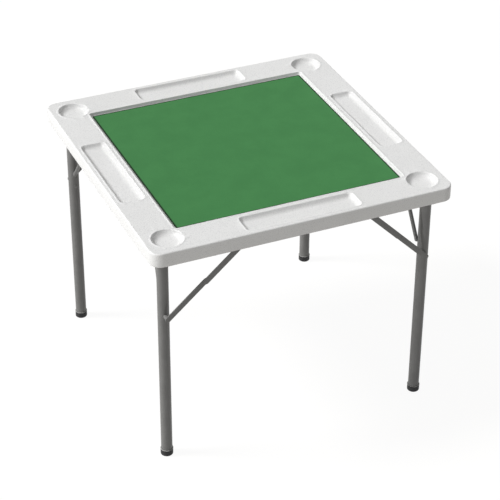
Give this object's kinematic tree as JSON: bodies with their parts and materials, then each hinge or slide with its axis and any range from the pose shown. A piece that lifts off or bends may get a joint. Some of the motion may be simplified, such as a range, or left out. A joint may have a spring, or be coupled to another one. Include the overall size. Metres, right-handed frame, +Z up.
{
  "type": "folding mahjong table",
  "caption": "Square moulded game table with a sunken green playing mat, corner cup wells, side trays and two folding tube leg frames with braces.",
  "frame": {"origin": "on the floor, under the middle of the square top", "axes": "+X right along the front edge, +Y from the front edge to the rear edge, +Z up"},
  "size_m": [0.88, 0.88, 0.718],
  "materials": {
    "white_hdpe": "fine pebbled moulding grain",
    "green_mat": "short felt nap",
    "grey_steel": "grey powder coat",
    "black_rubber": "matt",
    "black_plastic": "satin",
    "zinc_fixings": "dull zinc plate"
  },
  "bodies": {
    "tabletop": {"top_panel": "white_hdpe", "playing_mat": "green_mat", "front_rail": "grey_steel", "rear_rail": "grey_steel", "rail_screws": "zinc_fixings", "brace_anchor_rivets": "grey_steel"},
    "left_leg_frame": {"left_crossbar": "grey_steel", "left_front_leg": "grey_steel", "left_front_foot": "black_rubber", "left_front_stay": "grey_steel", "left_rear_leg": "grey_steel", "left_rear_foot": "black_rubber", "left_rear_stay": "grey_steel", "left_pivot_caps": "zinc_fixings", "left_brace_spacers": "grey_steel", "left_brace_rivets": "grey_steel", "left_leg_saddles": "grey_steel", "left_leg_plugs": "black_plastic"},
    "left_front_inner_bar": {"left_front_inner_bar": "grey_steel", "left_front_inner_pin": "grey_steel"},
    "left_front_outer_bar": {"left_front_outer_bar": "grey_steel", "left_front_outer_pin": "grey_steel"},
    "left_rear_inner_bar": {"left_rear_inner_bar": "grey_steel", "left_rear_inner_pin": "grey_steel"},
    "left_rear_outer_bar": {"left_rear_outer_bar": "grey_steel", "left_rear_outer_pin": "grey_steel"},
    "right_leg_frame": {"right_crossbar": "grey_steel", "right_front_leg": "grey_steel", "right_front_foot": "black_rubber", "right_front_stay": "grey_steel", "right_rear_leg": "grey_steel", "right_rear_foot": "black_rubber", "right_rear_stay": "grey_steel", "right_pivot_caps": "zinc_fixings", "right_brace_spacers": "grey_steel", "right_brace_rivets": "grey_steel"},
    "right_front_inner_bar": {"right_front_inner_bar": "grey_steel", "right_front_inner_pin": "grey_steel"},
    "right_front_outer_bar": {"right_front_outer_bar": "grey_steel", "right_front_outer_pin": "grey_steel"},
    "right_rear_inner_bar": {"right_rear_inner_bar": "grey_steel", "right_rear_inner_pin": "grey_steel"},
    "right_rear_outer_bar": {"right_rear_outer_bar": "grey_steel", "right_rear_outer_pin": "grey_steel"}
  },
  "joints": [
    {"name": "left_leg_fold", "type": "hinge", "parent": "tabletop", "child": "left_leg_frame", "pos_m": [-0.355, 0, 0.667], "axis": [0, -1, 0], "range_deg": [0, 90]},
    {"name": "left_front_outer_bar_turn", "type": "hinge", "parent": "tabletop", "child": "left_front_outer_bar", "pos_m": [-0.173, -0.4019, 0.667], "axis": [0, 1, 0], "range_deg": [0, 34.79]},
    {"name": "left_front_inner_bar_turn", "type": "hinge", "parent": "left_leg_frame", "child": "left_front_inner_bar", "pos_m": [-0.387, -0.3985, 0.479], "axis": [0, -1, 0], "range_deg": [0, 42.33]},
    {"name": "left_rear_outer_bar_turn", "type": "hinge", "parent": "tabletop", "child": "left_rear_outer_bar", "pos_m": [-0.173, 0.4019, 0.667], "axis": [0, 1, 0], "range_deg": [0, 34.79]},
    {"name": "left_rear_inner_bar_turn", "type": "hinge", "parent": "left_leg_frame", "child": "left_rear_inner_bar", "pos_m": [-0.387, 0.3985, 0.479], "axis": [0, -1, 0], "range_deg": [0, 42.33]},
    {"name": "right_leg_fold", "type": "hinge", "parent": "tabletop", "child": "right_leg_frame", "pos_m": [0.387, 0, 0.667], "axis": [0, 1, 0], "range_deg": [0, 90]},
    {"name": "right_front_outer_bar_turn", "type": "hinge", "parent": "tabletop", "child": "right_front_outer_bar", "pos_m": [0.2, -0.4019, 0.667], "axis": [0, -1, 0], "range_deg": [0, 45.16]},
    {"name": "right_front_inner_bar_turn", "type": "hinge", "parent": "right_leg_frame", "child": "right_front_inner_bar", "pos_m": [0.387, -0.3985, 0.479], "axis": [0, 1, 0], "range_deg": [0, 44.86]},
    {"name": "right_rear_outer_bar_turn", "type": "hinge", "parent": "tabletop", "child": "right_rear_outer_bar", "pos_m": [0.2, 0.4019, 0.667], "axis": [0, -1, 0], "range_deg": [0, 45.16]},
    {"name": "right_rear_inner_bar_turn", "type": "hinge", "parent": "right_leg_frame", "child": "right_rear_inner_bar", "pos_m": [0.387, 0.3985, 0.479], "axis": [0, 1, 0], "range_deg": [0, 44.86]}
  ],
  "couplings": [
    {"joint": "left_front_outer_bar_turn", "follows": "left_leg_fold", "ratio": 0.38644},
    {"joint": "left_front_inner_bar_turn", "follows": "left_leg_fold", "ratio": 0.47019},
    {"joint": "left_rear_outer_bar_turn", "follows": "left_leg_fold", "ratio": 0.38644},
    {"joint": "left_rear_inner_bar_turn", "follows": "left_leg_fold", "ratio": 0.47019},
    {"joint": "right_front_outer_bar_turn", "follows": "right_leg_fold", "ratio": 0.5017},
    {"joint": "right_front_inner_bar_turn", "follows": "right_leg_fold", "ratio": 0.4983},
    {"joint": "right_rear_outer_bar_turn", "follows": "right_leg_fold", "ratio": 0.5017},
    {"joint": "right_rear_inner_bar_turn", "follows": "right_leg_fold", "ratio": 0.4983}
  ]
}
